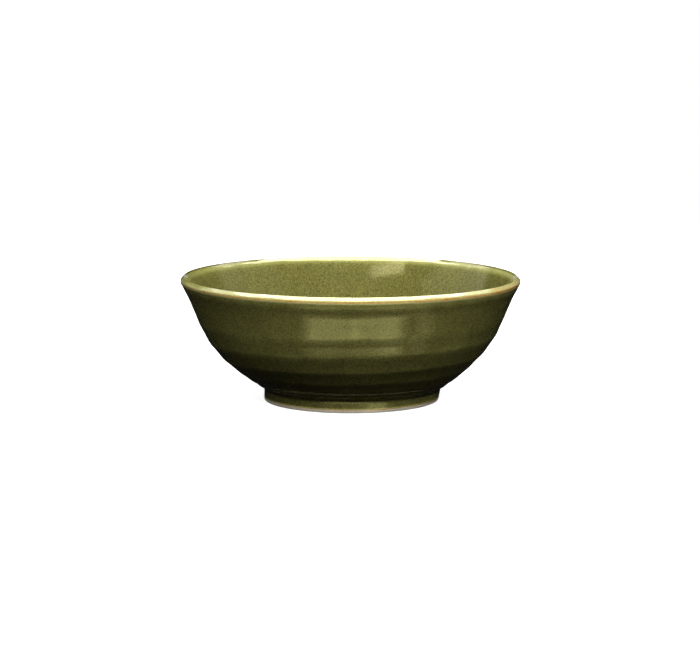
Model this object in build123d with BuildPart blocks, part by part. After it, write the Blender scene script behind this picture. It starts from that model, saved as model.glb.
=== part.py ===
from build123d import *
from math import hypot
import os

# A wheel-thrown rice bowl, turned about the Z axis. Every section is drawn as radius and height.
# The origin is the centre of the standing ring, on the table, with +Z up through the bowl.

# ---------------------------------------------------------------- driving sizes, mm and degrees

rim_diameter = 155.0  # across the widest part of the lip
bowl_height = 56.8  # from the table to the crest of the lip

foot_diameter = 80.0  # across the foot at the table
foot_height = 5.4  # from the table to the crease where the wall springs off the foot
foot_lean = 0.5  # the foot stands this much further out at the crease than at the table
foot_ring_width = 5.0  # standing ring, from its outer edge to its inner edge
foot_edge_round = 0.6  # both edges of the standing ring, rubbed smooth
well_draft = 0.6  # the hollow under the foot closes in by this much towards its ceiling
well_corner = 1.4  # glaze pooled in the corner of that hollow

rim_wall = 3.2  # wall under the lip, glaze included
base_wall = 4.6  # wall where it meets the floor, glaze included
floor_thickness = 4.8  # from the top of the foot ring to the eating surface
floor_radius = 24.0  # the flat part of the eating surface
lip_outer_share = 0.66  # how much of the lip's thickness the fuller, outer rounding takes

glaze = 0.5  # thickness of the fired glaze
bare_height = 1.4  # unglazed clay above the table
glaze_taper = 1.0  # height over which the glaze thins out to its edge

foot_slope = 35.5  # the wall's angle to the table where it springs off the foot
lip_slope = 60.0  # the wall's angle to the table just under the lip
springing_pull = 9.0  # how far the wall keeps close to its foot slope
flare_pull = 22.5  # how far the wall keeps close to its lip slope
belly_out = 0.87  # the fullness of the belly, as a share of the wall's run outwards
belly_up = 0.43  # and of its rise

turned_step = 4.2  # width of each of the lines turned with a tool above the foot
turned_count = 2
band_count = 6  # finger-wide bands left by throwing, up to the lip
band_hollow = 0.25  # how deep each band is hollowed below its two crests

# ---------------------------------------------------------------- places worked out from the sizes

rim_radius = rim_diameter / 2
foot_radius = foot_diameter / 2
spring_radius = foot_radius + foot_lean
well_ceiling = foot_height - glaze
floor_top = foot_height + floor_thickness

lip_outer_round = rim_wall * lip_outer_share
lip_inner_round = rim_wall - lip_outer_round

up_the_lip = Vector(1, 0).rotate(Axis.Z, lip_slope)
off_the_foot = Vector(1, 0).rotate(Axis.Z, foot_slope)


def inward(heading):
    """The direction into the wall, seen along a heading that climbs its outside."""
    return Vector(-heading.Y, heading.X)


# The lip is capped by two quarter rounds that share the line through both of their centres.
lip_inner_centre_height = bowl_height - lip_inner_round
centre_step = lip_outer_round - lip_inner_round
lip_outer_centre = Vector(
    rim_radius - lip_outer_round,
    lip_inner_centre_height - centre_step * up_the_lip.Y,
)
lip_inner_centre = lip_outer_centre + up_the_lip * centre_step

wall_spring = Vector(spring_radius, foot_height)
wall_top = lip_outer_centre - inward(up_the_lip) * lip_outer_round
wall_rise = wall_top - wall_spring

# The outside of the wall follows one curve from the crease to the lip: full in the belly, then
# drawn in at the waist and flared a little under the lip.
with BuildLine() as wall_guide:
    Bezier(
        wall_spring,
        wall_spring + off_the_foot * springing_pull,
        wall_spring + Vector(wall_rise.X * belly_out, wall_rise.Y * belly_up),
        wall_top - up_the_lip * flare_pull,
        wall_top,
    )
guide = wall_guide.edges()[0]

# Crest lines up the wall, as shares of the guide's length: turned lines first, then bands.
turned_crests = [turned_step * step / guide.length for step in range(turned_count + 1)]
band_share = (1 - turned_crests[-1]) / band_count
band_crests = [turned_crests[-1] + band_share * band for band in range(1, band_count + 1)]
crests = turned_crests + band_crests

# Places up the wall, as shares of the guide's length, that the inside keeps its thickness from.
inside_stations = [0.86, 0.66, 0.46, 0.26]


def wall_point(share, depth):
    """The point at a share of the wall's height, set into the wall by a depth."""
    return guide @ share + inward(guide % share) * depth


def wall_thickness(share):
    """The wall thins evenly from its base to its rim."""
    return base_wall + (rim_wall - base_wall) * share


def foot_side(height):
    """Radius of the outside of the foot."""
    return foot_radius + foot_lean * height / foot_height


def well_side(height):
    """Radius of the hollow under the foot."""
    return foot_radius - foot_ring_width - well_draft * height / foot_height


def outside_lines(coat):
    """Draw the outside from the crease to the crest of the lip, a coat below the surface."""
    for lower, upper in zip(crests[:-1], crests[1:]):
        hollow = 0 if upper == crests[-1] else band_hollow
        middle = (lower + upper) / 2
        ThreePointArc(wall_point(lower, coat), wall_point(middle, coat + hollow), wall_point(upper, coat))
    CenterArc(lip_outer_centre, lip_outer_round - coat, lip_slope - 90, 90)
    CenterArc(lip_inner_centre, lip_inner_round - coat, lip_slope, 90 - lip_slope)


def inside_lines(coat):
    """Draw the inside from the crest of the lip to the middle of the floor, a coat below it."""
    CenterArc(lip_inner_centre, lip_inner_round - coat, 90, lip_slope)
    lip_foot = lip_inner_centre + inward(up_the_lip) * (lip_inner_round - coat)
    stations = [wall_point(share, wall_thickness(share) - coat) for share in inside_stations]
    floor_edge = Vector(floor_radius, floor_top - coat)
    Spline(lip_foot, *stations, floor_edge, tangents=[-up_the_lip, Vector(-1, 0)])
    Line(floor_edge, (0, floor_top - coat))


def lip_crest(coat):
    """The highest point of the lip, a coat below its surface."""
    return lip_inner_centre + Vector(0, lip_inner_round - coat)


# The clay stops short of the finished surface by the glaze, down to the bare edge of the foot.
clay_crease = (spring_radius - glaze, foot_height)
taper_height = bare_height + glaze_taper
outer_glaze_edge = (foot_side(bare_height), bare_height)
outer_glaze_root = (foot_side(taper_height) - glaze, taper_height)
well_glaze_edge = (well_side(bare_height), bare_height)
well_glaze_root = (well_side(taper_height) + glaze, taper_height)
clay_well_corner = (well_side(foot_height) + glaze, foot_height)

# ---------------------------------------------------------------- bowl body: thrown wall and floor

with BuildPart() as bowl_body:
    with BuildSketch(Plane.XZ):
        with BuildLine():
            Line((0, foot_height), clay_crease)
            Line(clay_crease, wall_point(0, glaze))
            outside_lines(glaze)
            inside_lines(glaze)
            Line((0, floor_top - glaze), (0, foot_height))
        make_face()
    revolve(axis=Axis.Z)
bowl_body.part.label = "bowl_body"

# ---------------------------------------------------------------- foot ring: what the bowl stands on

with BuildPart() as foot_ring:
    with BuildSketch(Plane.XZ):
        with BuildLine():
            Polyline(
                (well_side(0), 0),
                (foot_side(0), 0),
                outer_glaze_edge,
                outer_glaze_root,
                clay_crease,
                clay_well_corner,
                well_glaze_root,
                well_glaze_edge,
                close=True,
            )
        make_face()
        fillet(vertices().group_by(Axis.Y)[0], foot_edge_round)
    revolve(axis=Axis.Z)
foot_ring.part.label = "foot_ring"

# ---------------------------------------------------------------- inside glaze: crest of the lip to the floor

with BuildPart() as inside_glaze:
    with BuildSketch(Plane.XZ):
        with BuildLine():
            inside_lines(0)
            Line((0, floor_top), (0, floor_top - glaze))
            inside_lines(glaze)
            Line(lip_crest(glaze), lip_crest(0))
        make_face()
    revolve(axis=Axis.Z)
inside_glaze.part.label = "inside_glaze"

# ---------------------------------------------------------------- outside glaze: bare edge to the crest of the lip

with BuildPart() as outside_glaze:
    with BuildSketch(Plane.XZ):
        with BuildLine():
            Line(outer_glaze_edge, wall_spring)
            outside_lines(0)
            Line(lip_crest(0), lip_crest(glaze))
            outside_lines(glaze)
            Polyline(wall_point(0, glaze), clay_crease, outer_glaze_root, outer_glaze_edge)
        make_face()
    revolve(axis=Axis.Z)
outside_glaze.part.label = "outside_glaze"

# ---------------------------------------------------------------- foot-well glaze: the hollow under the foot

with BuildPart() as foot_well_glaze:
    with BuildSketch(Plane.XZ):
        with BuildLine():
            Polyline(
                (0, well_ceiling),
                (well_side(well_ceiling), well_ceiling),
                well_glaze_edge,
                well_glaze_root,
                clay_well_corner,
                (0, foot_height),
                close=True,
            )
        make_face()
        pooled_corner = vertices().sort_by_distance((well_side(well_ceiling), well_ceiling))[0]
        fillet(pooled_corner, well_corner)
    revolve(axis=Axis.Z)
foot_well_glaze.part.label = "foot_well_glaze"

# ---------------------------------------------------------------- written out

os.makedirs("parts", exist_ok=True)
for piece in (bowl_body, foot_ring, inside_glaze, outside_glaze, foot_well_glaze):
    export_step(piece.part, f"parts/{piece.part.label}.step")
    size = piece.part.bounding_box().size
    print(f"{piece.part.label}: {piece.part.volume / 1000:.2f} cm3, {size.X:.2f} x {size.Z:.2f} mm")
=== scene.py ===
"""A wheel-thrown rice bowl in olive glaze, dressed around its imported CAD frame.

The bowl is one wall of stoneware turned about Z. Its clay, its foot ring and its three coats of
glaze are each swept round the axis by one Geometry Nodes tree, which also leaves the spiral of
finger-wide throwing bands, the slight wander of a hand-thrown wall and the thickness of the glaze
that the glaze's colour follows.
"""

import logging
import math
from dataclasses import dataclass, field
from enum import Enum
from typing import Any

import bmesh
import bpy
import numpy as np
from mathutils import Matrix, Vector


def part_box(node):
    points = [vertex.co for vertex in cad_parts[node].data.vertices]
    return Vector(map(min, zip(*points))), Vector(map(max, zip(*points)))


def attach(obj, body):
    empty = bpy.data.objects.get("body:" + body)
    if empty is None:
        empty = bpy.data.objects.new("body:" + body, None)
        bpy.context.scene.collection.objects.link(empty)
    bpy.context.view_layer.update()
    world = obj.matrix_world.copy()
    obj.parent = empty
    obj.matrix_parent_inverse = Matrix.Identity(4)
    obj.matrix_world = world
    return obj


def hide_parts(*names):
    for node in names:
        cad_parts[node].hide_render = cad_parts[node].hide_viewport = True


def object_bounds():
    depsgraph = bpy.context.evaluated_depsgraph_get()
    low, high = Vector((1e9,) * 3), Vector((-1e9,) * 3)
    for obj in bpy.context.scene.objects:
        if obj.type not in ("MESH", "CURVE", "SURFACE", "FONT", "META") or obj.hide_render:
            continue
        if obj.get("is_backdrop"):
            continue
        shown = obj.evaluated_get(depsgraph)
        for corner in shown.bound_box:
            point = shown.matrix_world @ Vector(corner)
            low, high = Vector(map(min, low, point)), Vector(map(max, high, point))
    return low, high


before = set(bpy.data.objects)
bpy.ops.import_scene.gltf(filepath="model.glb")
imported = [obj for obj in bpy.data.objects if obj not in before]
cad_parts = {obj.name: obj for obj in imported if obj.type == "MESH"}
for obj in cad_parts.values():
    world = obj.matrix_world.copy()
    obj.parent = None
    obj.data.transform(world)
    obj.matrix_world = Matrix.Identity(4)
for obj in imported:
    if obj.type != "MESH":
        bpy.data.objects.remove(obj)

LOG = logging.getLogger("rice_bowl")
MM = 0.001
FULL_TURN = 2 * math.pi
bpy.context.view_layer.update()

# Short names for the nodes that come up most, and for the sums that the trees use.
MATH, MAP, MIX, NOISE = "ShaderNodeMath", "ShaderNodeMapRange", "ShaderNodeMix", "ShaderNodeTexNoise"
PLUS, MINUS, TIMES, OVER, POWER, TIMES_PLUS = (
    {"operation": name} for name in ("ADD", "SUBTRACT", "MULTIPLY", "DIVIDE", "POWER", "MULTIPLY_ADD"))

# Where nearly all of a noise's values lie, as the range that a Map Range node reads.
NOISE_SPAN = {1: 0.3, 2: 0.7}


class Layer(Enum):
    """The separate bodies of material, each with the CAD node it stands for."""

    BODY = "bowl_body"
    FOOT = "foot_ring"
    INSIDE = "inside_glaze"
    OUTSIDE = "outside_glaze"
    WELL = "foot_well_glaze"


def linear(hex_colour: str) -> tuple[float, float, float, float]:
    """Turn an sRGB hex colour into linear RGBA.

    Args:
        hex_colour: six hex digits, with or without a leading hash.

    Returns:
        Linear red, green, blue and an alpha of one.
    """
    digits = hex_colour.lstrip("#")
    shares = [int(digits[place:place + 2], 16) / 255 for place in (0, 2, 4)]
    red, green, blue = (s / 12.92 if s <= 0.04045 else ((s + 0.055) / 1.055) ** 2.4 for s in shares)
    return red, green, blue, 1.0


def add(tree: Any, kind: str, settings: dict[str, Any] | None = None,
        links: dict[int | str, Any] | None = None) -> Any:
    """Add one node to a shader or geometry tree.

    Args:
        tree: the node tree.
        kind: the node's type name.
        settings: properties of the node to set.
        links: for each input, by name or number, the node or socket that feeds it, or its value.

    Returns:
        The new node.
    """
    node = tree.nodes.new(kind)
    for name, value in (settings or {}).items():
        setattr(node, name, value)
    for name, value in (links or {}).items():
        source = value.outputs[0] if isinstance(value, bpy.types.Node) else value
        if isinstance(source, bpy.types.NodeSocket):
            tree.links.new(source, node.inputs[name])
        else:
            node.inputs[name].default_value = source
    return node


def smooth_rise(value: float, low: float, high: float) -> float:
    """Rise smoothly from 0 at low to 1 at high."""
    share = min(max((value - low) / (high - low), 0.0), 1.0)
    return share * share * (3 - 2 * share)


# ------------------------------------------------------------------------------ the bowl's section


@dataclass
class Station:
    """One point of a section, in millimetres, with what the wheel and the kiln do there.

    Args:
        radius: distance from the axis.
        height: height above the table.
        facing: radius and height of the unit direction that throwing marks push along.
        band: how many throwing crests lie below this point, at the front of the bowl.
        give: how strongly the throwing marks show here, from 0 to 1.
        coat: thickness of glaze that the eye reads here, which just inside the lip's crest also carries a
            line of painted shade.
    """

    radius: float
    height: float
    facing: tuple[float, float] = (0.0, 0.0)
    band: float = 0.0
    give: float = 0.0
    coat: float = 0.5


@dataclass
class BowlSection:
    """The bowl's section as radius and height in millimetres, on the CAD's own sizes.

    Args:
        rim_radius, bowl_height, foot_radius, foot_height, floor_top: read from the CAD nodes' boxes.
        foot_lean, well_draft: how much the foot's outside widens, and its hollow narrows, going up.
        rim_wall, base_wall: thickness of the wall under the lip and at the floor.
        lip_outer_share: share of the lip's thickness that its larger, outer rounding takes.
        foot_slope, lip_slope: degrees above level that the wall sets off at and arrives at.
        springing_pull, flare_pull, belly_out, belly_up: what shapes the wall's curve between them.
        crests: how far up the wall each throwing crest lies. The first two are turned, not thrown.
        bevel_share, inner_bevel_share, bevel_flatness, bevel_facing, inner_bevel_facing: the two
            bevels that the sponge leaves on the lip, as sponged() takes them.
        sponge_reach: how far into the bowl the sponge wipes.
        bare_edge_coat, edge_coat_thin, edge_coat_rise: glaze at its bare edge and just above it,
            and the height over which it reaches full_coat.
        crease_coat, crease_coat_reach: extra glaze pooled in the crease above the foot.
        inside_coat, floor_coat, floor_coat_fade: extra glaze inside, and on the floor.
        floor_mark_pitch, floor_mark_give: spacing and strength of the floor's throwing rings.
        inside_knots: shares of the wall's length at which the inside curve takes its thickness.
        lip_coats_outside, lip_coats_inside: distance from the lip's crest and the glaze left there. Inside,
            the thick coat half a millimetre below the crest is painted shade, a dark line along the top of
            the rim.
        deepest_band: depth of the deepest throwing band.
        fine_step: spacing of the stations on the face of the outside glaze.
    """

    rim_radius: float
    bowl_height: float
    foot_radius: float
    foot_height: float
    floor_top: float
    foot_lean: float = 0.5
    foot_ring_width: float = 5.0
    foot_edge_round: float = 0.6
    well_draft: float = 0.6
    well_corner: float = 1.4
    rim_wall: float = 3.2
    base_wall: float = 4.6
    floor_radius: float = 24.0
    lip_outer_share: float = 0.66
    glaze: float = 0.5
    bare_height: float = 1.4
    glaze_taper: float = 1.0
    foot_slope: float = 35.5
    lip_slope: float = 60.0
    springing_pull: float = 9.0
    flare_pull: float = 22.5
    belly_out: float = 0.87
    belly_up: float = 0.43
    crease_pool: float = 0.9
    crests: tuple[float, ...] = (3.3, 8.4, 15.7, 25.0, 35.0, 45.3, 55.0, 64.5)
    turned_hollow: float = 0.22
    crest_rise: float = 0.05
    lip_bead: float = 0.1
    lip_bead_width: float = 5.8
    bevel_share: float = 0.88
    inner_bevel_share: float = 0.72
    bevel_flatness: float = 0.85
    bevel_facing: float = 44.0
    inner_bevel_facing: float = 131.0
    sponge_reach: float = 4.0
    bare_edge_coat: float = 0.08
    edge_coat_thin: float = 0.14
    edge_coat_rise: float = 1.1
    full_coat: float = 0.5
    crease_coat: float = 0.35
    crease_coat_reach: float = 2.2
    inside_coat: float = 0.03
    floor_coat: float = 0.12
    floor_coat_fade: tuple[float, float] = (20.0, 46.0)
    floor_mark_pitch: float = 7.5
    floor_mark_give: float = 0.35
    inside_knots: tuple[float, ...] = (0.86, 0.66, 0.46, 0.26)
    lip_coats_outside: tuple[tuple[float, float], ...] = (
        (0.0, 0.3), (2.0, 0.28), (2.6, 0.2), (2.95, 0.15), (3.3, 0.22), (4.2, 0.38), (6.8, 0.5))
    # Inside, the 0.6 mm coat half a millimetre below the crest is painted shade: a dark line along the top
    # of the rim.
    lip_coats_inside: tuple[tuple[float, float], ...] = (
        (0.0, 0.38), (0.5, 0.6), (0.9, 0.45), (1.3, 0.3), (2.8, 0.31), (4.4, 0.46), (8.0, 0.5))
    deepest_band: float = 0.25
    fine_step: float = 0.6
    guide: np.ndarray = field(init=False, repr=False)
    guide_run: np.ndarray = field(init=False, repr=False)

    @classmethod
    def from_frame(cls) -> "BowlSection":
        """Read the driving sizes from the CAD nodes' boxes.

        Returns:
            The section, with its other sizes at their defaults.
        """
        glaze_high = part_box(Layer.OUTSIDE.value)[1]
        foot_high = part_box(Layer.FOOT.value)[1]
        inside_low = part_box(Layer.INSIDE.value)[0]
        foot_height = foot_high.z / MM
        widest_foot = foot_high.x / MM
        lean_at_bare_edge = cls.foot_lean * cls.bare_height / foot_height
        return cls(
            rim_radius=glaze_high.x / MM,
            bowl_height=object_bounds()[1].z / MM,
            foot_radius=widest_foot - lean_at_bare_edge,
            foot_height=foot_height,
            floor_top=inside_low.z / MM + cls.glaze,
        )

    def __post_init__(self) -> None:
        """Work out the lip's centres and the curve that the outside of the wall follows."""
        slope = math.radians(self.lip_slope)
        spring = math.radians(self.foot_slope)
        self.up_the_lip = np.array([math.cos(slope), math.sin(slope)])
        self.lip_outer_round = self.rim_wall * self.lip_outer_share
        self.lip_inner_round = self.rim_wall - self.lip_outer_round
        step = self.lip_outer_round - self.lip_inner_round
        inner_height = self.bowl_height - self.lip_inner_round
        self.outer_centre = np.array(
            [self.rim_radius - self.lip_outer_round, inner_height - step * self.up_the_lip[1]])
        self.inner_centre = self.outer_centre + self.up_the_lip * step
        start = np.array([self.foot_radius + self.foot_lean, self.foot_height])
        end = self.outer_centre - self.inward(self.up_the_lip) * self.lip_outer_round
        rise = end - start
        pulls = [
            start,
            start + np.array([math.cos(spring), math.sin(spring)]) * self.springing_pull,
            start + rise * np.array([self.belly_out, self.belly_up]),
            end - self.up_the_lip * self.flare_pull,
            end,
        ]
        share = np.linspace(0.0, 1.0, 601)[:, None]
        order = len(pulls) - 1
        self.guide = sum(
            math.comb(order, place) * (1 - share) ** (order - place) * share ** place * pull
            for place, pull in enumerate(pulls))
        steps = np.linalg.norm(np.diff(self.guide, axis=0), axis=1)
        self.guide_run = np.concatenate([[0.0], np.cumsum(steps)])

    @staticmethod
    def inward(heading: np.ndarray) -> np.ndarray:
        """Return the direction into the wall, for a heading that climbs its outside."""
        return np.array([-heading[1], heading[0]])

    @property
    def wall_run(self) -> float:
        """Return the length of the outside wall from the crease to the lip."""
        return float(self.guide_run[-1])

    def on_guide(self, climb: float) -> tuple[np.ndarray, np.ndarray]:
        """Find a point of the outside wall.

        Args:
            climb: distance up the wall from the crease.

        Returns:
            The point, and the unit heading up the wall there.
        """
        point = np.array([np.interp(climb, self.guide_run, self.guide[:, axis]) for axis in (0, 1)])
        low, high = (
            np.array([np.interp(climb + reach, self.guide_run, self.guide[:, axis]) for axis in (0, 1)])
            for reach in (-0.4, 0.4))
        heading = (high - low) / np.linalg.norm(high - low)
        return point, heading

    def foot_side(self, height: float) -> float:
        """Return the radius of the outside of the foot."""
        return self.foot_radius + self.foot_lean * height / self.foot_height

    def well_side(self, height: float) -> float:
        """Return the radius of the hollow under the foot."""
        return self.foot_radius - self.foot_ring_width - self.well_draft * height / self.foot_height

    def turned_line(self, climb: float) -> float:
        """Depth cut by the turning tool between the crease and the first thrown band."""
        bead, shoulder = self.crests[:2]
        if climb >= shoulder:
            return 0.0
        low, high = (0.0, bead) if climb < bead else (bead, shoulder)
        across = (climb - low) / (high - low)
        return self.turned_hollow * math.sin(math.pi * across) ** 2

    def sponged(self, place: np.ndarray, depth: float, centre: np.ndarray, radius: float,
                facing: float, share: float) -> np.ndarray:
        """Wipe the face of the lip towards a flat bevel, as a wet sponge does.

        Args:
            place: a point of the section near the lip.
            depth: how far below the finished surface. Only the face itself is wiped.
            centre: centre of the lip's rounding.
            radius: its radius.
            facing: direction that the bevel faces, in degrees from straight out.
            share: how far out the bevel lies, as a share of the radius.

        Returns:
            The wiped point.
        """
        if depth > 0:
            return place
        towards = np.array([math.cos(math.radians(facing)), math.sin(math.radians(facing))])
        proud = float(np.dot(place - centre, towards)) - radius * share
        return place - towards * max(proud, 0.0) * self.bevel_flatness

    def bead_line(self, climb: float) -> float:
        """Height of the slight bead that the fingers leave just below the lip."""
        across = (climb - self.wall_run) / self.lip_bead_width + 1
        return self.lip_bead * math.sin(math.pi * across) ** 2 if across > 0 else 0.0

    def facet_give(self, climb: float) -> float:
        """Say how far a throwing band is flattened here, against the deepest band.

        A band is a nearly flat facet between two crests, so it lies off the curve as a chord does:
        deep inside it where the wall bends sharply, and a hair outside it where the rim flares.

        Args:
            climb: distance up the wall from the crease.

        Returns:
            The share of the deepest band, up to about 1, and below 0 under the flare.
        """
        crests = self.crests[1:]
        above = next((place for place in range(1, len(crests)) if crests[place] > climb), len(crests) - 1)
        pitch = crests[above] - crests[above - 1]
        _, low = self.on_guide(max(climb - pitch / 2, 0.5))
        _, high = self.on_guide(min(climb + pitch / 2, self.wall_run - 0.5))
        bend = math.atan2(high[1], high[0]) - math.atan2(low[1], low[0])
        return min(max(bend * pitch / 8 + self.crest_rise, -0.15) / self.deepest_band, 1.0)

    def lip_coat(self, distance: float, outside: bool) -> float:
        """Thickness of glaze left near the lip, where it runs thin while it melts.

        Args:
            distance: distance from the crest of the lip, along the surface.
            outside: whether the point is outside the crest.

        Returns:
            The thickness that the eye reads, in millimetres. Inside, the thick line half a millimetre below
            the crest is painted shade.
        """
        places, coats = zip(*(self.lip_coats_outside if outside else self.lip_coats_inside))
        return float(np.interp(distance, places, coats))

    def edge_coat(self, height: float) -> float:
        """Return the thickness of glaze on the foot, which runs thin down to its bare edge."""
        rise = smooth_rise(height, self.bare_height, self.bare_height + self.edge_coat_rise)
        return self.edge_coat_thin + (self.full_coat - self.edge_coat_thin) * rise

    def arc(self, centre: np.ndarray, radius: float, start: float, sweep: float,
            count: int) -> list[tuple[np.ndarray, np.ndarray]]:
        """Step along an arc.

        Args:
            centre: the arc's centre.
            radius: its radius.
            start: its first angle, in degrees from straight out.
            sweep: degrees turned.
            count: number of steps.

        Returns:
            Points with the direction that each faces.
        """
        steps = []
        for number in range(count + 1):
            angle = math.radians(start + sweep * number / count)
            facing = np.array([math.cos(angle), math.sin(angle)])
            steps.append((centre + facing * radius, facing))
        return steps

    def outside(self, depth: float, step: float) -> list[Station]:
        """Follow the outside from the crease to the crest of the lip.

        Args:
            depth: how far below the finished surface, so that 0 is the face of the glaze.
            step: spacing of the stations.

        Returns:
            Stations in climbing order.
        """
        stations: list[Station] = []
        lip_length = math.radians(90) * self.lip_outer_round
        lip_length += math.radians(90 - self.lip_slope) * self.lip_inner_round
        first = self.crease_pool if depth == 0 else 0.0
        count = round((self.wall_run - first) / step)
        for number in range(count + 1):
            climb = first + (self.wall_run - first) * number / count
            point, heading = self.on_guide(climb)
            outward = -self.inward(heading)
            place = point - outward * (depth + self.turned_line(climb) - self.bead_line(climb))
            band = float(np.interp(climb, self.crests[1:], range(1, len(self.crests))))
            fade_in = smooth_rise(climb, self.crests[1] - 1.0, self.crests[1] + 3.0)
            fade_out = 1 - smooth_rise(climb, self.wall_run - 8.0, self.wall_run - 1.5)
            coat = self.lip_coat(self.wall_run - climb + lip_length, True)
            pooled = self.crease_coat * (1 - smooth_rise(climb, 0.0, self.crease_coat_reach))
            give = fade_in * fade_out * self.facet_give(climb)
            stations.append(Station(place[0], place[1], tuple(outward), band, give, coat + pooled))
        slope = self.lip_slope
        outer = self.arc(self.outer_centre, self.lip_outer_round - depth, slope - 90, 90, 16)
        inner = self.arc(self.inner_centre, self.lip_inner_round - depth, slope, 90 - slope, 5)
        walked = 0.0
        for before, (place, facing) in zip([*outer[:-1], *inner[:-1]], [*outer[1:], *inner[1:]]):
            walked += float(np.linalg.norm(place - before[0]))
            coat = self.lip_coat(max(lip_length - walked, 0.0), True)
            wiped = self.sponged(
                place, depth, self.outer_centre, self.lip_outer_round, self.bevel_facing, self.bevel_share)
            stations.append(Station(wiped[0], wiped[1], tuple(facing), 0.0, 0.0, coat))
        return stations

    def inside(self, depth: float, step: float) -> list[Station]:
        """Follow the inside from the crest of the lip to the middle of the floor.

        Args:
            depth: how far below the finished surface.
            step: spacing of the stations.

        Returns:
            Stations from the lip down and in.
        """
        stations: list[Station] = []
        walked = 0.0
        lip = self.arc(self.inner_centre, self.lip_inner_round - depth, 90, self.lip_slope, 10)
        for number, (place, facing) in enumerate(lip):
            if number:
                walked += float(np.linalg.norm(place - lip[number - 1][0]))
            wiped = self.sponge_inside(place, depth)
            # Just inside the crest this coat thickens to a dark line of painted shade.
            coat = self.lip_coat(walked, False)
            stations.append(Station(wiped[0], wiped[1], tuple(facing), 0.0, 0.0, coat))
        wall = self.inside_wall(depth, step)
        for before, place in zip(wall[:-1], wall[1:]):
            heading = (place - before) / np.linalg.norm(place - before)
            walked += float(np.linalg.norm(place - before))
            facing = np.array([heading[1], -heading[0]])
            on_floor = 1 - smooth_rise(place[0], 0.55 * self.floor_radius, 1.7 * self.floor_radius)
            pooled = self.inside_coat + self.floor_coat * (1 - smooth_rise(place[0], *self.floor_coat_fade))
            coat = self.lip_coat(walked, False) + pooled
            wiped = self.sponge_inside(place, depth)
            band, give = place[0] / self.floor_mark_pitch, self.floor_mark_give * on_floor
            stations.append(Station(wiped[0], wiped[1], tuple(facing), band, give, coat))
        stations[-1].radius = 0.0
        stations[-1].give = 0.0
        return stations

    def sponge_inside(self, place: np.ndarray, depth: float) -> np.ndarray:
        """Wipe the inner edge of the lip, which rolls over into the bowl."""
        if place[0] < self.inner_centre[0] - self.sponge_reach:
            return place
        return self.sponged(place, depth, self.inner_centre, self.lip_inner_round,
                            self.inner_bevel_facing, self.inner_bevel_share)

    def inside_wall(self, depth: float, step: float) -> list[np.ndarray]:
        """Step down the inside wall and across the floor.

        Args:
            depth: how far below the finished surface.
            step: spacing of the points.

        Returns:
            Points from the foot of the lip's rounding to the axis.
        """
        sideways = self.inward(self.up_the_lip)
        knots = [self.inner_centre + sideways * (self.lip_inner_round - depth)]
        for share in self.inside_knots:
            point, heading = self.on_guide(share * self.wall_run)
            wall = self.base_wall + (self.rim_wall - self.base_wall) * share
            knots.append(point + self.inward(heading) * (wall - depth))
        knots.append(np.array([self.floor_radius, self.floor_top - depth]))
        knots.append(np.array([0.0, self.floor_top - depth]))
        curve = self.through(knots, -self.up_the_lip, np.array([-1.0, 0.0]))
        run = np.concatenate([[0.0], np.cumsum(np.linalg.norm(np.diff(curve, axis=0), axis=1))])
        count = round(run[-1] / step)
        places = np.linspace(0.0, run[-1], count + 1)
        return [np.array([np.interp(place, run, curve[:, axis]) for axis in (0, 1)]) for place in places]

    @staticmethod
    def through(knots: list[np.ndarray], first: np.ndarray, last: np.ndarray) -> np.ndarray:
        """Draw a smooth curve through knots, with given directions at its two ends.

        Args:
            knots: the points that it passes through.
            first: unit direction at the first knot.
            last: unit direction at the last.

        Returns:
            Many points along the curve.
        """
        points = np.array(knots)
        gaps = np.linalg.norm(np.diff(points, axis=0), axis=1)
        slopes = np.zeros_like(points)
        slopes[0], slopes[-1] = first, last
        for number in range(1, len(points) - 1):
            before, after = gaps[number - 1], gaps[number]
            arriving = (points[number] - points[number - 1]) / before
            leaving = (points[number + 1] - points[number]) / after
            slopes[number] = (arriving * after + leaving * before) / (before + after)
        pieces = []
        share = np.linspace(0.0, 1.0, 60)[:, None]
        for number, gap in enumerate(gaps):
            start, end = points[number], points[number + 1]
            pieces.append(
                start * (2 * share ** 3 - 3 * share ** 2 + 1) + end * (3 * share ** 2 - 2 * share ** 3)
                + slopes[number] * gap * (share ** 3 - 2 * share ** 2 + share)
                + slopes[number + 1] * gap * (share ** 3 - share ** 2))
        return np.concatenate([pieces[0], *[piece[1:] for piece in pieces[1:]]])


# ------------------------------------------------------------------------------ turned on the wheel


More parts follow.
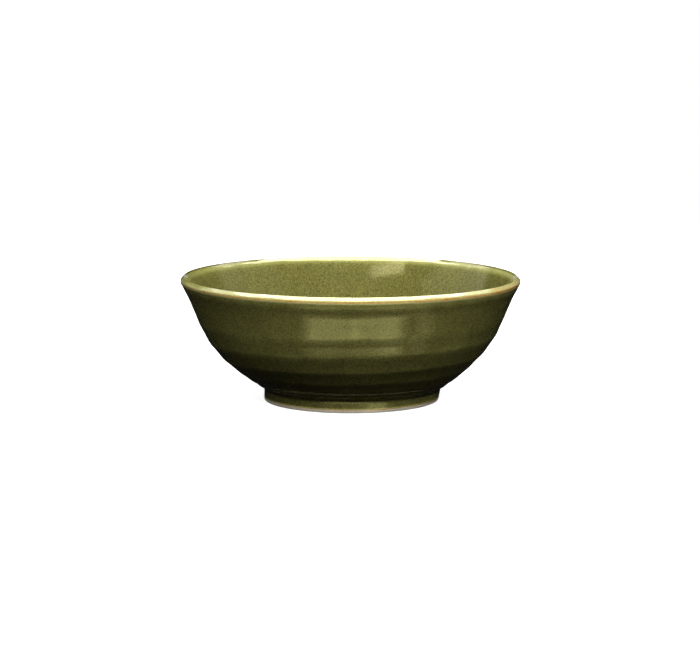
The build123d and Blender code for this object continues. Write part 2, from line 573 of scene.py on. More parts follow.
@dataclass
class Wheel:
    """The Geometry Nodes tree that turns a section into a hand-thrown solid.

    Args:
        steps: facets in one turn.
        band_depth: how deep a throwing band is hollowed between its crests, in metres.
        crest_softness: how rounded a crest is, as a share of half a band.
        wander: how far the wall strays in and out at the lip, in metres.
        wander_size: size of that straying along the wall, in metres.
        rim_tilt: how much higher the rim stands at its left side, in metres.
        foot_shift: how far the foot is turned off centre, in metres.
        pooling: how much thicker the glaze lies in a hollow, as a share.
        thin_side: how much thinner the glaze ran at the right of the rim, in millimetres.
        rim_fade, foot_fade: how quickly that dies away below the rim and above the foot.
        foot_thinner: how many times thinner still it ran at the right of the foot.
        press: weakest and strongest press of the fingers.
        foot_base_share: how much of the foot's shift its base shares.
        still_radius: radius within which the floor stays nearly true, in metres.
        crisp_angle: degrees above which an edge stays crisp.
        seed: picks the wander's pattern.
    """

    steps: int = 288
    band_depth: float = 0.25 * MM
    crest_softness: float = 0.14
    wander: float = 0.16 * MM
    wander_size: float = 55 * MM
    rim_tilt: float = 0.22 * MM
    foot_shift: float = 0.98 * MM
    pooling: float = 0.14
    thin_side: float = 0.06
    rim_fade: float = 30.0
    foot_fade: float = 34.0
    foot_thinner: float = 3.5
    press: tuple[float, float] = (0.72, 1.22)
    foot_base_share: float = 0.4
    still_radius: float = 20 * MM
    crisp_angle: float = 38.0
    seed: float = 4.0
    tree: Any = field(init=False, default=None, repr=False)

    def build(self, section: BowlSection) -> None:
        """Make the node tree.

        Args:
            section: the section whose heights the tree's fades follow.
        """
        tree = bpy.data.node_groups.new("turn_on_the_wheel", "GeometryNodeTree")
        face = tree.interface
        face.new_socket("Section", in_out="INPUT", socket_type="NodeSocketGeometry")
        for name, kind in (("Steps", "Int"), ("Band Depth", "Float"), ("Crest Softness", "Float"),
                           ("Wander", "Float"), ("Wander Size", "Float"), ("Rim Tilt", "Float"),
                           ("Foot Shift", "Float"), ("Pooling", "Float"), ("Thin Side", "Float"),
                           ("Seed", "Float"), ("Finish", "Material")):
            face.new_socket(name, in_out="INPUT", socket_type=f"NodeSocket{kind}")
        face.new_socket("Piece", in_out="OUTPUT", socket_type="NodeSocketGeometry")
        given = add(tree, "NodeGroupInput").outputs

        # A sheet with one row for each station of the section and one column for each step round.
        count = add(tree, "GeometryNodeAttributeDomainSize", None, {0: given["Section"]})
        columns = add(tree, MATH, PLUS, {0: given["Steps"], 1: 1.0})
        sheet = add(tree, "GeometryNodeMeshGrid", None, {
            "Vertices X": count.outputs["Point Count"], "Vertices Y": columns})
        index = add(tree, "GeometryNodeInputIndex")
        rows_down = add(tree, MATH, OVER, {0: index, 1: columns})
        row = add(tree, MATH, {"operation": "FLOOR"}, {0: rows_down})
        column = add(tree, MATH, {"operation": "FLOORED_MODULO"}, {0: index, 1: columns})
        turn = add(tree, MATH, OVER, {0: column, 1: given["Steps"]})
        angle = add(tree, MATH, TIMES, {0: turn, 1: FULL_TURN})
        sine = add(tree, MATH, {"operation": "SINE"}, {0: angle})
        cosine = add(tree, MATH, {"operation": "COSINE"}, {0: angle})

        # What the station of this row says: its place, which way marks push, and its marks.
        read = {}
        sources = {
            "place": add(tree, "GeometryNodeInputPosition").outputs[0],
            "facing": add(tree, "GeometryNodeInputNamedAttribute", {"data_type": "FLOAT_VECTOR"},
                          {"Name": "facing"}).outputs["Attribute"],
            "marks": add(tree, "GeometryNodeInputNamedAttribute", {"data_type": "FLOAT_VECTOR"},
                         {"Name": "marks"}).outputs["Attribute"],
        }
        for name, socket in sources.items():
            sample = add(tree, "GeometryNodeSampleIndex", {"data_type": "FLOAT_VECTOR", "domain": "POINT"},
                         {0: given["Section"], "Value": socket, "Index": row})
            read[name] = add(tree, "ShaderNodeSeparateXYZ", None, {0: sample}).outputs
        radius, height = read["place"][0], read["place"][2]
        band, give, coat = read["marks"]

        # The throwing bands climb by one band in a turn: crests where band - turn is whole.
        spiral = add(tree, MATH, MINUS, {0: band, 1: turn})
        across = add(tree, MATH, {"operation": "FRACT"}, {0: spiral})
        off_middle = add(tree, MATH, TIMES_PLUS, {0: across, 1: 2.0, 2: -1.0})
        to_crest = add(tree, MATH, {"operation": "ABSOLUTE"}, {0: off_middle})
        from_crest = add(tree, MATH, MINUS, {0: 1.0, 1: to_crest})
        squared = add(tree, MATH, POWER, {0: from_crest, 1: 2.0})
        soft_squared = add(tree, MATH, POWER, {0: given["Crest Softness"], 1: 2.0})
        both = add(tree, MATH, PLUS, {0: squared, 1: soft_squared})
        rounded = add(tree, MATH, {"operation": "SQRT"}, {0: both})
        rounded = add(tree, MATH, MINUS, {0: rounded, 1: given["Crest Softness"]})
        rest_of = add(tree, MATH, MINUS, {0: 2.0, 1: rounded})
        hollow = add(tree, MATH, TIMES, {0: rounded, 1: rest_of})

        # Slow noise: the fingers press a little harder here and there, and the wall wanders.
        flat_x = add(tree, MATH, TIMES, {0: radius, 1: sine})
        flat_y = add(tree, MATH, TIMES, {0: radius, 1: cosine})
        around = add(tree, "ShaderNodeCombineXYZ", None, {0: flat_x, 1: flat_y, 2: height})
        finer = add(tree, MATH, OVER, {0: 1.0, 1: given["Wander Size"]})
        slow = add(tree, NOISE, {"noise_dimensions": "4D"},
                   {"Vector": around, "W": given["Seed"], "Scale": finer,
                    "Detail": 1.0, "Roughness": 0.4})
        press = add(tree, MAP, None, {"Value": slow, **NOISE_SPAN, 3: self.press[0], 4: self.press[1]})
        stray = add(tree, MAP, None, {"Value": slow, 1: 0.25, 2: 0.75, 3: -1.0, 4: 1.0})

        # Depth of the marks here, along the way they push.
        pressed = add(tree, MATH, TIMES, {0: hollow, 1: press})
        shown = add(tree, MATH, TIMES, {0: pressed, 1: give})
        depth = add(tree, MATH, TIMES, {0: shown, 1: given["Band Depth"]})
        push_out = add(tree, MATH, TIMES, {0: depth, 1: read["facing"][0]})
        push_up = add(tree, MATH, TIMES, {0: depth, 1: read["facing"][2]})

        # The wall wanders more the higher it stands, and the rim tilts.
        tall = section.bowl_height * MM
        rise = add(tree, MAP, None, {"Value": height, 1: 0.0, 2: tall, 3: 0.0, 4: 1.0})
        rise_squared = add(tree, MATH, POWER, {0: rise, 1: 2.0})
        strayed = add(tree, MATH, TIMES, {0: stray, 1: rise_squared})
        wandered = add(tree, MATH, TIMES_PLUS, {0: strayed, 1: given["Wander"], 2: radius})
        off_axis = add(tree, MAP, None,
                       {"Value": radius, 1: 0.0, 2: self.still_radius, 3: 0.0, 4: 1.0})
        kept = add(tree, MIX, {"data_type": "FLOAT"}, {0: off_axis, 2: radius, 3: wandered})
        new_radius = add(tree, MATH, MINUS, {0: kept, 1: push_out})
        tilt = add(tree, MATH, TIMES, {0: rise_squared, 1: given["Rim Tilt"]})
        tilt = add(tree, MATH, TIMES, {0: tilt, 1: sine})
        lowered = add(tree, MATH, MINUS, {0: height, 1: push_up})
        new_height = add(tree, MATH, MINUS, {0: lowered, 1: tilt})

        # The foot was turned a hair off centre, and its base leans left of its top.
        foot = section.foot_height * MM
        lean = add(tree, MAP, None, {"Value": height, 1: 0.0, 2: foot, 3: self.foot_base_share, 4: 1.0})
        fading = add(tree, MAP, {"interpolation_type": "SMOOTHSTEP"},
                     {"Value": height, 1: foot, 2: 4 * foot, 3: 1.0, 4: 0.0})
        shift = add(tree, MATH, TIMES, {0: lean, 1: fading})
        shift = add(tree, MATH, TIMES, {0: shift, 1: given["Foot Shift"]})

        to_right = add(tree, MATH, TIMES_PLUS, {0: new_radius, 1: sine, 2: shift})
        to_back = add(tree, MATH, TIMES, {0: new_radius, 1: cosine})
        to_back = add(tree, MATH, TIMES, {0: to_back, 1: -1.0})
        place = add(tree, "ShaderNodeCombineXYZ", None, {0: to_right, 1: to_back, 2: new_height})

        # Glaze runs off the crests and lies thicker in the hollows.
        pooled = add(tree, MATH, MINUS, {0: shown, 1: 0.5})
        pooled = add(tree, MATH, TIMES, {0: pooled, 1: give})
        pooled = add(tree, MATH, TIMES_PLUS, {0: pooled, 1: given["Pooling"], 2: 1.0})
        thickness = add(tree, MATH, TIMES, {0: coat, 1: pooled})
        near_rim = add(tree, MATH, POWER, {0: rise, 1: self.rim_fade})
        fall = add(tree, MATH, MINUS, {0: 1.0, 1: rise})
        near_foot = add(tree, MATH, POWER, {0: fall, 1: self.foot_fade})
        near_edge = add(tree, MATH, TIMES_PLUS, {0: near_foot, 1: self.foot_thinner, 2: near_rim})
        run_off = add(tree, MATH, TIMES, {0: near_edge, 1: sine})
        run_off = add(tree, MATH, TIMES, {0: run_off, 1: given["Thin Side"]})
        thickness = add(tree, MATH, MINUS, {0: thickness, 1: run_off})

        moved = add(tree, "GeometryNodeSetPosition", None,
                    {"Geometry": sheet.outputs["Mesh"], "Position": place})
        stored = add(tree, "GeometryNodeStoreNamedAttribute", {"data_type": "FLOAT", "domain": "POINT"},
                     {"Geometry": moved, "Name": "glaze_mm", "Value": thickness})
        closed = add(tree, "GeometryNodeMergeByDistance", None,
                     {"Geometry": stored, "Distance": 0.001 * MM})
        smooth = add(tree, "GeometryNodeSetShadeSmooth", {"domain": "FACE"},
                     {"Geometry": closed, "Shade Smooth": True})
        bend = add(tree, "GeometryNodeInputMeshEdgeAngle")
        corner = add(tree, "FunctionNodeCompare", {"data_type": "FLOAT", "operation": "LESS_THAN"},
                     {0: bend.outputs["Unsigned Angle"], 1: math.radians(self.crisp_angle)})
        crisp = add(tree, "GeometryNodeSetShadeSmooth", {"domain": "EDGE"},
                    {"Geometry": smooth, "Shade Smooth": corner})
        real = add(tree, "GeometryNodeRealizeInstances", None, {"Geometry": crisp})
        dressed = add(tree, "GeometryNodeSetMaterial", None,
                      {"Geometry": real, "Material": given["Finish"]})
        add(tree, "NodeGroupOutput", None, {0: dressed})
        self.tree = tree

    def turn(self, name: str, stations: list[Station], finish: bpy.types.Material) -> bpy.types.Object:
        """Sweep one closed section round the axis.

        Args:
            name: name of the piece.
            stations: the section's points in order. Both ends lie on the axis, or the two ends meet.
            finish: the material.

        Returns:
            The piece as a plain closed mesh, at the origin.
        """
        closed = stations
        if max(stations[0].radius, stations[-1].radius) > 0:
            closed = [*stations, stations[0]]
        mesh = bpy.data.meshes.new(f"{name}_section")
        points = [(s.radius * MM, 0.0, s.height * MM) for s in closed]
        edges = [(number, number + 1) for number in range(len(points) - 1)]
        mesh.from_pydata(points, edges, [])
        facing = mesh.attributes.new("facing", "FLOAT_VECTOR", "POINT")
        facing.data.foreach_set("vector", [c for s in closed for c in (s.facing[0], 0.0, s.facing[1])])
        marks = mesh.attributes.new("marks", "FLOAT_VECTOR", "POINT")
        marks.data.foreach_set("vector", [c for s in closed for c in (s.band, s.give, s.coat)])
        blank = bpy.data.objects.new(f"{name}_blank", mesh)
        bpy.context.scene.collection.objects.link(blank)
        modifier = blank.modifiers.new("wheel", "NODES")
        modifier.node_group = self.tree
        for socket in self.tree.interface.items_tree:
            setting = socket.name.lower().replace(" ", "_")
            if socket.in_out == "INPUT" and socket.name == "Finish":
                modifier[socket.identifier] = finish
            elif socket.in_out == "INPUT" and hasattr(self, setting):
                modifier[socket.identifier] = getattr(self, setting)
        graph = bpy.context.evaluated_depsgraph_get()
        turned = bpy.data.meshes.new_from_object(
            blank.evaluated_get(graph), preserve_all_data_layers=True, depsgraph=graph)
        bpy.data.objects.remove(blank)
        bpy.data.meshes.remove(mesh)
        turned.name = name
        self.face_outwards(turned)
        piece = bpy.data.objects.new(name, turned)
        bpy.context.scene.collection.objects.link(piece)
        return piece

    @staticmethod
    def face_outwards(mesh: bpy.types.Mesh) -> None:
        """Turn a closed shell's faces outwards and drop any face with no area."""
        shell = bmesh.new()
        shell.from_mesh(mesh)
        bmesh.ops.dissolve_degenerate(shell, dist=0.0005 * MM, edges=shell.edges)
        bmesh.ops.recalc_face_normals(shell, faces=shell.faces)
        if shell.calc_volume(signed=True) < 0:
            bmesh.ops.reverse_faces(shell, faces=shell.faces)
        shell.to_mesh(mesh)
        shell.free()


# ------------------------------------------------------------------------------ finishes


@dataclass(frozen=True)
class OliveGlaze:
    """Glossy iron-bearing ash glaze, fired until it runs.

    It is glassy and wet to the eye. Where it lies thick it is olive, where it runs thin it breaks
    to straw and then amber over the pale clay, and fine iron specks and unmelted grains mottle it.

    Args:
        name: the material's name.
        breaks: thickness in millimetres and the sRGB colour seen through that much glaze.
        ior: index of a lead-free stoneware glaze.
        gloss: lowest and highest roughness.
        grain: size of the fine mottle, in metres.
        cloud: size of the soft clouds of tone, in metres.
        speck: spacing of the iron specks, in metres.
        peel: size of the orange-peel dimples, in metres.
        uneven, fine: how far clouds and grains vary the coat, in millimetres either way.
        mottle: how dark and how light the unmelted grains make the colour.
        mottle_coats: the coats between which the mottle grows to its full strength.
        thin_mottle: its strength in the thinner of them.
        specked: share of the speck cells that stay empty.
        speck_reach: size of the largest speck, as a share of its cell.
        speck_strength: how far a speck hides the glaze.
        iron: sRGB colour of a speck.
        tint: sRGB colour of the gloss.
    """

    name: str = "olive_ash_glaze"
    breaks: tuple[tuple[float, str], ...] = (
        (0.04, "#E6D6AC"), (0.12, "#D08A3C"), (0.19, "#DDBB70"), (0.27, "#D4D28C"),
        (0.36, "#A5A45C"), (0.50, "#79763E"), (0.66, "#605D30"), (0.95, "#3A391D"))
    ior: float = 1.5
    gloss: tuple[float, float] = (0.07, 0.15)
    grain: float = 0.72 * MM
    cloud: float = 9 * MM
    speck: float = 2.3 * MM
    peel: float = 1.6 * MM
    uneven: float = 0.028
    fine: float = 0.015
    mottle: tuple[float, float] = (0.5, 1.53)
    mottle_coats: tuple[float, float] = (0.24, 0.48)
    thin_mottle: float = 0.25
    specked: float = 0.72
    speck_reach: float = 0.16
    speck_strength: float = 0.5
    iron: str = "#3B2C17"
    tint: str = "#F4F0C0"

    def build(self) -> bpy.types.Material:
        """Make the material.

        Returns:
            A material that reads the piece's glaze_mm attribute and Object coordinates.
        """
        material = bpy.data.materials.new(self.name)
        material.use_nodes = True
        tree = material.node_tree
        tree.nodes.clear()
        where = add(tree, "ShaderNodeTexCoord").outputs["Object"]
        # glaze_mm is the glaze's thickness, and just inside the lip's crest also a dark line of painted
        # shade.
        coat = add(tree, "ShaderNodeAttribute", {"attribute_name": "glaze_mm"}).outputs["Fac"]
        clouds = add(tree, NOISE, None,
                     {"Vector": where, "Scale": 1 / self.cloud, "Detail": 3.0, "Roughness": 0.55})
        grain = add(tree, NOISE, None,
                    {"Vector": where, "Scale": 1 / self.grain, "Detail": 2.0, "Roughness": 0.6})
        uneven = add(tree, MAP, None,
                     {"Value": clouds, **NOISE_SPAN, 3: -self.uneven, 4: self.uneven})
        fine = add(tree, MAP, None, {"Value": grain, **NOISE_SPAN, 3: -self.fine, 4: self.fine})
        lies = add(tree, MATH, PLUS, {0: coat, 1: uneven})
        lies = add(tree, MATH, PLUS, {0: lies, 1: fine})
        seen = add(tree, "ShaderNodeValToRGB", None, {0: lies})
        ramp = seen.color_ramp
        for number, (thickness, colour) in enumerate(self.breaks):
            stop = ramp.elements[number] if number < 2 else ramp.elements.new(thickness)
            stop.position = thickness
            stop.color = linear(colour)

        # Fine mottle: unmelted grains, lighter and darker, about half a millimetre across.
        mottle = add(tree, MAP, None, {"Value": grain, **NOISE_SPAN, 3: self.mottle[0], 4: self.mottle[1]})
        thick = add(tree, MAP, None, {"Value": coat, 1: self.mottle_coats[0], 2: self.mottle_coats[1],
                                      3: self.thin_mottle, 4: 1.0})
        mottle = add(tree, MIX, {"data_type": "FLOAT"}, {0: thick, 2: 1.0, 3: mottle})
        toned = add(tree, "ShaderNodeVectorMath", {"operation": "SCALE"}, {0: seen, "Scale": mottle})

        # Iron specks, darker and browner, sparse and uneven in size.
        spots = add(tree, "ShaderNodeTexVoronoi", {"feature": "F1"},
                    {"Vector": where, "Scale": 1 / self.speck, "Randomness": 1.0})
        picked = add(tree, "ShaderNodeSeparateColor", None, {0: spots.outputs["Color"]})
        reach = add(tree, MAP, None, {"Value": picked, 1: self.specked, 2: 1.0, 3: 0.0, 4: self.speck_reach})
        inside = add(tree, MATH, {"operation": "LESS_THAN"}, {0: spots.outputs["Distance"], 1: reach})
        strength = add(tree, MATH, TIMES, {0: inside, 1: self.speck_strength})
        speckled = add(tree, MIX, {"data_type": "RGBA"},
                       {"Factor": strength, 6: toned, 7: linear(self.iron)})

        rough = add(tree, MAP, None,
                    {"Value": clouds, **NOISE_SPAN, 3: self.gloss[0], 4: self.gloss[1]})
        dimples = add(tree, NOISE, None,
                      {"Vector": where, "Scale": 1 / self.peel, "Detail": 2.0, "Roughness": 0.5})
        peel = add(tree, "ShaderNodeBump", None,
                   {"Strength": 0.16, "Distance": 0.05 * MM, "Height": dimples})
        pits = add(tree, "ShaderNodeBump", None,
                   {"Strength": 0.10, "Distance": 0.02 * MM, "Height": grain, "Normal": peel})
        shader = add(tree, "ShaderNodeBsdfPrincipled", None,
                     {"Base Color": speckled.outputs[2], "Roughness": rough,
                      "IOR": self.ior, "Specular Tint": linear(self.tint), "Normal": pits})
        add(tree, "ShaderNodeOutputMaterial", None, {0: shader})
        return material


@dataclass(frozen=True)
class BareStoneware:
    """Unglazed stoneware, turned with a tool and rubbed smooth with a stone.

    It is dry, matt and faintly sandy, cream where it was rubbed, and flashed orange-brown in a
    narrow line under the edge of the glaze.

    Args:
        name: the material's name.
        clay: sRGB colour of the rubbed clay.
        shade: sRGB colour of its darker grains.
        flash: sRGB colour of the flashing.
        roughness: lowest and highest roughness.
        grit: size of the sand grains, in metres.
        turning: spacing of the tool's fine lines, in metres. Not used.
        flash_from: height at which the flashing begins, in metres.
        flash_to: height at which it is full, in metres.
        patch: size of the patches that make the flashing's edge ragged, in metres.
        ragged: how far they move that edge down and up, in metres.
    """

    name: str = "bare_stoneware"
    clay: str = "#FFF6E2"
    shade: str = "#E2CFA8"
    flash: str = "#C07A3A"
    roughness: tuple[float, float] = (0.68, 0.9)
    grit: float = 0.4 * MM
    turning: float = 0.35 * MM
    flash_from: float = 1.2 * MM
    flash_to: float = 1.5 * MM
    patch: float = 7 * MM
    ragged: tuple[float, float] = (-0.4 * MM, 0.2 * MM)

    def build(self) -> bpy.types.Material:
        """Make the material.

        Returns:
            A material that reads Object coordinates.
        """
        material = bpy.data.materials.new(self.name)
        material.use_nodes = True
        tree = material.node_tree
        tree.nodes.clear()
        where = add(tree, "ShaderNodeTexCoord").outputs["Object"]
        grains = add(tree, NOISE, None,
                     {"Vector": where, "Scale": 1 / self.grit, "Detail": 3.0, "Roughness": 0.65})
        patches = add(tree, NOISE, None,
                      {"Vector": where, "Scale": 1 / self.patch, "Detail": 2.0, "Roughness": 0.5})
        tone = add(tree, MAP, None, {"Value": grains, 1: 0.35, 2: 0.7})
        body = add(tree, MIX, {"data_type": "RGBA"},
                   {"Factor": tone, 6: linear(self.clay), 7: linear(self.shade)})
        height = add(tree, "ShaderNodeSeparateXYZ", None, {0: where}).outputs[2]
        ragged = add(tree, MAP, None,
                     {"Value": patches, **NOISE_SPAN, 3: self.ragged[0], 4: self.ragged[1]})
        lifted = add(tree, MATH, PLUS, {0: height, 1: ragged})
        near_glaze = add(tree, MAP, {"interpolation_type": "SMOOTHSTEP"},
                         {"Value": lifted, 1: self.flash_from, 2: self.flash_to})
        flashed = add(tree, MIX, {"data_type": "RGBA"},
                      {"Factor": near_glaze, 6: body.outputs[2], 7: linear(self.flash)})
        rough = add(tree, MAP, None,
                    {"Value": grains, **NOISE_SPAN, 3: self.roughness[0], 4: self.roughness[1]})
        sand = add(tree, "ShaderNodeBump", None, {"Strength": 0.5, "Distance": 0.08 * MM, "Height": grains})
        shader = add(tree, "ShaderNodeBsdfPrincipled", None,
                     {"Base Color": flashed.outputs[2], "Roughness": rough, "IOR": 1.45,
                      "Normal": sand})
        add(tree, "ShaderNodeOutputMaterial", None, {0: shader})
        return material


# ------------------------------------------------------------------------------ the bowl's pieces


@dataclass
class ThrownClay:
    """The clay that was thrown and turned: the bowl's body and the ring that it stands on."""

    section: BowlSection
    wheel: Wheel
    finish: bpy.types.Material

    def body(self) -> bpy.types.Object:
        """Turn the wall and floor, which lie under the glaze all over.

        Returns:
            The bowl's body.
        """
        part = self.section
        outside = part.outside(part.glaze, 1.5)
        inside = part.inside(part.glaze, 1.5)
        crease = Station(part.foot_radius + part.foot_lean - part.glaze, part.foot_height)
        middle = Station(0.0, part.foot_height)
        return self.wheel.turn("thrown_body", [middle, crease, *outside, *inside[1:]], self.finish)

    def foot(self) -> bpy.types.Object:
        """Turn the foot ring, with both edges of its standing face rubbed round.

        Returns:
            The foot ring.
        """
        part = self.section
        soft = part.foot_edge_round
        taper = part.bare_height + part.glaze_taper
        ring: list[Station] = []
        inner, outer = part.well_side(0.0), part.foot_side(0.0)
        for place, _ in part.arc(np.array([inner + soft, soft]), soft, 180, 90, 6):
            ring.append(Station(place[0], place[1]))
        for number in range(1, 8):
            ring.append(Station(inner + soft + (outer - inner - 2 * soft) * number / 8, 0.0))
        for place, _ in part.arc(np.array([outer - soft, soft]), soft, 270, 90, 6):
            ring.append(Station(place[0], place[1]))
        for height in (part.bare_height * 0.7, part.bare_height):
            ring.append(Station(part.foot_side(height), height))
        ring.append(Station(part.foot_side(taper) - part.glaze, taper))
        ring.append(Station(part.foot_side(part.foot_height) - part.glaze, part.foot_height))
        ring.append(Station(part.well_side(part.foot_height) + part.glaze, part.foot_height))
        ring.append(Station(part.well_side(taper) + part.glaze, taper))
        for height in (part.bare_height, part.bare_height * 0.7):
            ring.append(Station(part.well_side(height), height))
        return self.wheel.turn("foot_ring_clay", ring, self.finish)


@dataclass
class GlazeCoats:
    """The three coats of glaze: poured inside, dipped outside, and wiped into the foot's well."""

    section: BowlSection
    wheel: Wheel
    finish: bpy.types.Material

    def inside(self) -> bpy.types.Object:
        """Turn the coat from the crest of the lip to the middle of the floor.

        Returns:
            The inside coat.
        """
        part = self.section
        face = part.inside(0.0, 0.8)
        back = part.inside(part.glaze, 2.0)
        return self.wheel.turn("inside_coat", [*reversed(face), *back], self.finish)

    def outside(self) -> bpy.types.Object:
        """Turn the coat from the bare edge of the foot up to the crest of the lip.

        Returns:
            The outside coat.
        """
        part = self.section
        taper = part.bare_height + part.glaze_taper
        face = [Station(part.foot_side(part.bare_height), part.bare_height, coat=part.bare_edge_coat)]
        side_top = part.foot_height - part.crease_pool
        for number in range(1, 9):
            height = part.bare_height + (side_top - part.bare_height) * number / 8
            face.append(Station(part.foot_side(height), height, coat=part.edge_coat(height)))
        wall = part.outside(0.0, part.fine_step)
        start = np.array([face[-1].radius, face[-1].height])
        end = np.array([wall[0].radius, wall[0].height])
        corner = np.array([part.foot_side(part.foot_height), part.foot_height])
        for number in range(1, 7):
            share = number / 7
            place = (1 - share) ** 2 * start + 2 * share * (1 - share) * corner + share ** 2 * end
            coat = part.full_coat + part.crease_coat * math.sin(math.pi * share / 2)
            face.append(Station(place[0], place[1], coat=coat))
        back = part.outside(part.glaze, 1.2)
        root = [
            Station(part.foot_side(part.foot_height) - part.glaze, part.foot_height),
            Station(part.foot_side(taper) - part.glaze, taper),
        ]
        return self.wheel.turn("outside_coat", [*face, *wall, *reversed(back), *root], self.finish)

    def well(self) -> bpy.types.Object:
        """Turn the coat in the hollow under the foot, pooled in its corner.

        Returns:
            The well's coat.
        """
        part = self.section
        ceiling = part.foot_height - part.glaze
        taper = part.bare_height + part.glaze_taper
        side = part.well_side(ceiling)
        back = [
            Station(0.0, part.foot_height),
            Station(part.well_side(part.foot_height) + part.glaze, part.foot_height),
            Station(part.well_side(taper) + part.glaze, taper),
            Station(part.well_side(part.bare_height), part.bare_height, coat=part.bare_edge_coat),
        ]
        face: list[Station] = []
        pool = np.array([side - part.well_corner, ceiling - part.well_corner])
        low_side = pool[1]
        for number in range(1, 7):
            height = part.bare_height + (low_side - part.bare_height) * number / 6
            face.append(Station(part.well_side(height), height, coat=part.edge_coat(height)))
        for place, _ in part.arc(pool, part.well_corner, 0, 90, 8)[1:]:
            face.append(Station(place[0], place[1], coat=0.7))
        for number in range(1, 31):
            radius = pool[0] * (1 - number / 30)
            give = 0.3 * smooth_rise(radius, 0.0, 5.0)
            face.append(Station(radius, ceiling, (0.0, -1.0), radius / 5.5, give, 0.5))
        return self.wheel.turn("foot_well_coat", [*back, *face], self.finish)


# ------------------------------------------------------------------------------ the studio


class Serves(Enum):
    """What a softbox is there for: lighting the pot's colour, or being mirrored in its gloss."""

    COLOUR = "colour"
    GLOSS = "gloss"


@dataclass(frozen=True)
class Softbox:
    """A soft light, rectangular or round, one metre from the bowl, that faces it.

    Args:
        name: its name.
        azimuths: the degrees that it spans round from the front, towards the right.
        elevations: the degrees that it spans above the table, or below it.
        strength: brightness of its face.
        serves: what it lights.
        colour: sRGB colour.
        disc: whether it is round, in which case its elevations alone set its size.
    """

    name: str
    azimuths: tuple[float, float]
    elevations: tuple[float, float]
    strength: float
    serves: Serves = Serves.COLOUR
    colour: str = "#FFFFFF"
    disc: bool = False

    def build(self, aim: Vector) -> None:
        """Hang the softbox.

        Args:
            aim: the point that it faces.
        """
        round_ = math.radians(sum(self.azimuths) / 2)
        up = math.radians(sum(self.elevations) / 2)
        half_wide = math.radians(abs(self.azimuths[1] - self.azimuths[0]) / 2)
        half_tall = math.radians(abs(self.elevations[1] - self.elevations[0]) / 2)
        light = bpy.data.lights.new(self.name, "AREA")
        light.shape = "DISK" if self.disc else "RECTANGLE"
        light.size_y = 2 * math.tan(half_tall)
        light.size = light.size_y if self.disc else 2 * math.tan(half_wide) * max(math.cos(up), 0.3)
        light.energy = 10 * self.strength * light.size * light.size_y * (math.pi / 4 if self.disc else 1)
        light.color = linear(self.colour)[:3]
        box = bpy.data.objects.new(self.name, light)
        away = Vector((math.sin(round_) * math.cos(up), -math.cos(round_) * math.cos(up), math.sin(up)))
        box.location = aim + away
        box.rotation_mode = "QUATERNION"
        box.rotation_quaternion = away.to_track_quat("Z", "Y")
        box.visible_camera = False
        box.visible_diffuse = self.serves is Serves.COLOUR
        box.visible_glossy = self.serves is Serves.GLOSS
        bpy.context.scene.collection.objects.link(box)


# The warm tone that the pale table sends up into the gloss.
GLOW = "#FFFDCF"


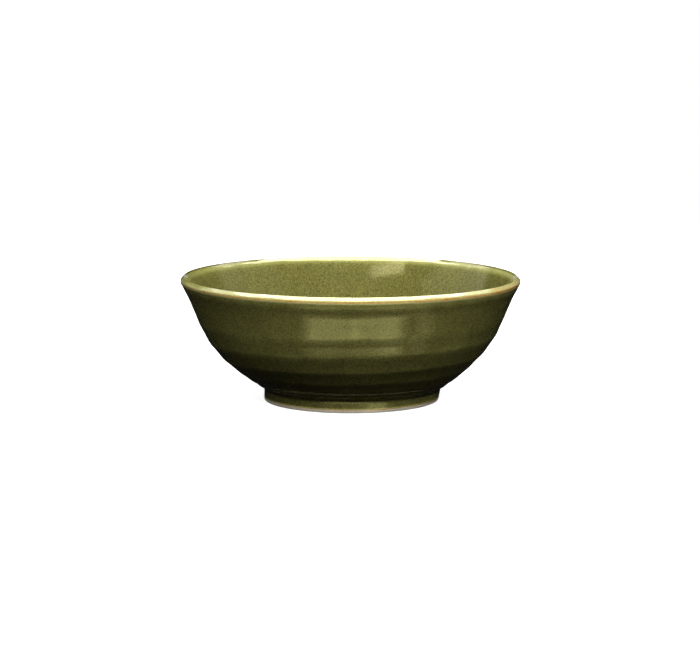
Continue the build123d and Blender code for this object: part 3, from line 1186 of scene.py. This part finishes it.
@dataclass
class Studio:
    """A plain pale table, soft light and the camera.

    Args:
        camera_distance, camera_elevation, aim, lens: where the camera stands, in metres and degrees,
            what it looks at, and its focal length in millimetres.
        table_size, table_colour, table_glow: side, sRGB colour and brightness of the table.
        room_tone: brightness of the room around the bowl.
        softboxes: the lamps.
    """

    camera_distance: float = 1.2
    camera_elevation: float = 8.45
    aim: tuple[float, float, float] = (-0.0002, 0.0, 0.0294)
    lens: float = 134.7
    table_size: float = 1.5
    table_colour: str = "#F4F4F4"
    table_glow: float = 0.86
    room_tone: float = 0.007
    softboxes: tuple[Softbox, ...] = (
        Softbox("key", (-25, 25), (26, 51), 2.35),
        Softbox("right_fill", (25, 70), (20, 50), 0.68),
        Softbox("left_fill", (-115, -70), (15, 50), 0.28),
        Softbox("overhead_fill", (-20, 20), (68, 100), 2.4),
        Softbox("back_fill", (150, 210), (25, 60), 1.0),
        Softbox("left_strip", (-116, -88), (46, 60), 5.0, Serves.GLOSS),
        Softbox("left_panel", (-132, -68), (18, 44), 0.3, Serves.GLOSS),
        Softbox("window", (-52, -20), (48, 54), 1.9, Serves.GLOSS, "#FFFDE8"),
        Softbox("right_panel", (62, 124), (18, 44), 0.18, Serves.GLOSS),
        Softbox("right_strip", (90, 118), (46, 60), 5.0, Serves.GLOSS),
        Softbox("overhead_disc", (-33, 33), (58, 122), 8.0, Serves.GLOSS, "#FFFDF0", True),
        Softbox("left_wing", (-150, -108), (34, 54), 1.1, Serves.GLOSS),
        Softbox("right_wing", (108, 150), (34, 54), 1.1, Serves.GLOSS),
        Softbox("backdrop", (172, 188), (-4, 10), 0.16, Serves.GLOSS),
        Softbox("front_glow", (-40, 46), (-35, -23), 0.75, Serves.GLOSS, GLOW),
        Softbox("table_glow_left", (-35, -9), (-51, -44), 0.46, Serves.GLOSS, GLOW),
        Softbox("table_glow_middle", (-9, 18), (-51, -44), 0.46, Serves.GLOSS, GLOW),
        Softbox("table_glow_right", (18, 43), (-51, -44), 0.5, Serves.GLOSS, GLOW),
        Softbox("table_glow_rim_left", (-39, 4), (-53.5, -42.5), 0.26, Serves.GLOSS, GLOW),
        Softbox("table_glow_rim_right", (4, 47), (-53.5, -42.5), 0.26, Serves.GLOSS, GLOW),
        Softbox("table_glow_fringe_left", (-43, 4), (-57, -40), 0.2, Serves.GLOSS, GLOW),
        Softbox("table_glow_fringe_right", (4, 51), (-57, -40), 0.2, Serves.GLOSS, GLOW),
        Softbox("table_glow_side", (57, 74), (-53, -38), 0.17, Serves.GLOSS, GLOW),
    )

    def build(self) -> None:
        """Make the camera, the table, the backdrop's glow and the lamps."""
        self.camera()
        self.table()
        self.surround()
        for softbox in self.softboxes:
            softbox.build(Vector(self.aim))

    def camera(self) -> None:
        """Stand the camera in front of the bowl, a little above its rim."""
        data = bpy.data.cameras.new("camera")
        data.lens = self.lens
        data.sensor_width = 36.0
        data.clip_start = 0.05
        camera = bpy.data.objects.new("camera", data)
        up = math.radians(self.camera_elevation)
        away = Vector((0.0, -math.cos(up), math.sin(up)))
        camera.location = Vector(self.aim) + away * self.camera_distance
        camera.rotation_mode = "QUATERNION"
        camera.rotation_quaternion = away.to_track_quat("Z", "Y")
        bpy.context.scene.collection.objects.link(camera)
        bpy.context.scene.camera = camera
        bpy.context.scene.view_settings.view_transform = "Standard"

    def table(self) -> None:
        """Lay the pale table, which shows to the camera but throws no light up on the bowl."""
        half = self.table_size / 2
        mesh = bpy.data.meshes.new("table")
        mesh.from_pydata([(-half, -half, 0), (half, -half, 0), (half, half, 0), (-half, half, 0)],
                         [], [(0, 1, 2, 3)])
        material = bpy.data.materials.new("pale_table")
        material.use_nodes = True
        tree = material.node_tree
        tree.nodes.clear()
        shader = add(tree, "ShaderNodeBsdfPrincipled", None,
                     {"Base Color": linear(self.table_colour), "Roughness": 0.9, "Specular IOR Level": 0.0,
                      "Emission Color": linear("#FFFFFF"), "Emission Strength": self.table_glow})
        add(tree, "ShaderNodeOutputMaterial", None, {0: shader})
        mesh.materials.append(material)
        floor = bpy.data.objects.new("table", mesh)
        floor.visible_diffuse = False
        floor.visible_glossy = False
        floor.visible_shadow = False
        bpy.context.scene.collection.objects.link(floor)
        floor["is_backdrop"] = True

    def surround(self) -> None:
        """Make the surround white to the camera and dim to the bowl."""
        world = bpy.data.worlds.new("studio")
        bpy.context.scene.world = world
        world.use_nodes = True
        tree = world.node_tree
        tree.nodes.clear()
        path = add(tree, "ShaderNodeLightPath")
        dim = (self.room_tone, self.room_tone, self.room_tone, 1)
        tone = add(tree, MIX, {"data_type": "RGBA"},
                   {"Factor": path.outputs["Is Camera Ray"], 6: dim, 7: (1, 1, 1, 1)})
        glow = add(tree, "ShaderNodeBackground", None, {0: tone.outputs[2]})
        add(tree, "ShaderNodeOutputWorld", None, {0: glow})


def hand_over(piece: bpy.types.Object, layer: Layer) -> None:
    """Tie a piece to the bowl's one rigid body, in place of its CAD node.

    Args:
        piece: the finished piece.
        layer: the body of material that it stands for.
    """
    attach(piece, "root")
    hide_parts(layer.value)
    LOG.info("%s: %d faces, stands for %s", piece.name, len(piece.data.polygons), layer.value)


def main() -> None:
    """Build the bowl piece by piece, then the studio."""
    logging.basicConfig(level=logging.INFO, format="%(name)s: %(message)s")
    section = BowlSection.from_frame()
    wheel = Wheel()
    wheel.build(section)
    glaze = OliveGlaze().build()
    clay = BareStoneware().build()
    thrown = ThrownClay(section, wheel, clay)
    coats = GlazeCoats(section, wheel, glaze)
    hand_over(thrown.body(), Layer.BODY)
    hand_over(thrown.foot(), Layer.FOOT)
    hand_over(coats.inside(), Layer.INSIDE)
    hand_over(coats.outside(), Layer.OUTSIDE)
    hand_over(coats.well(), Layer.WELL)
    Studio().build()


if __name__ == "__main__":
    main()
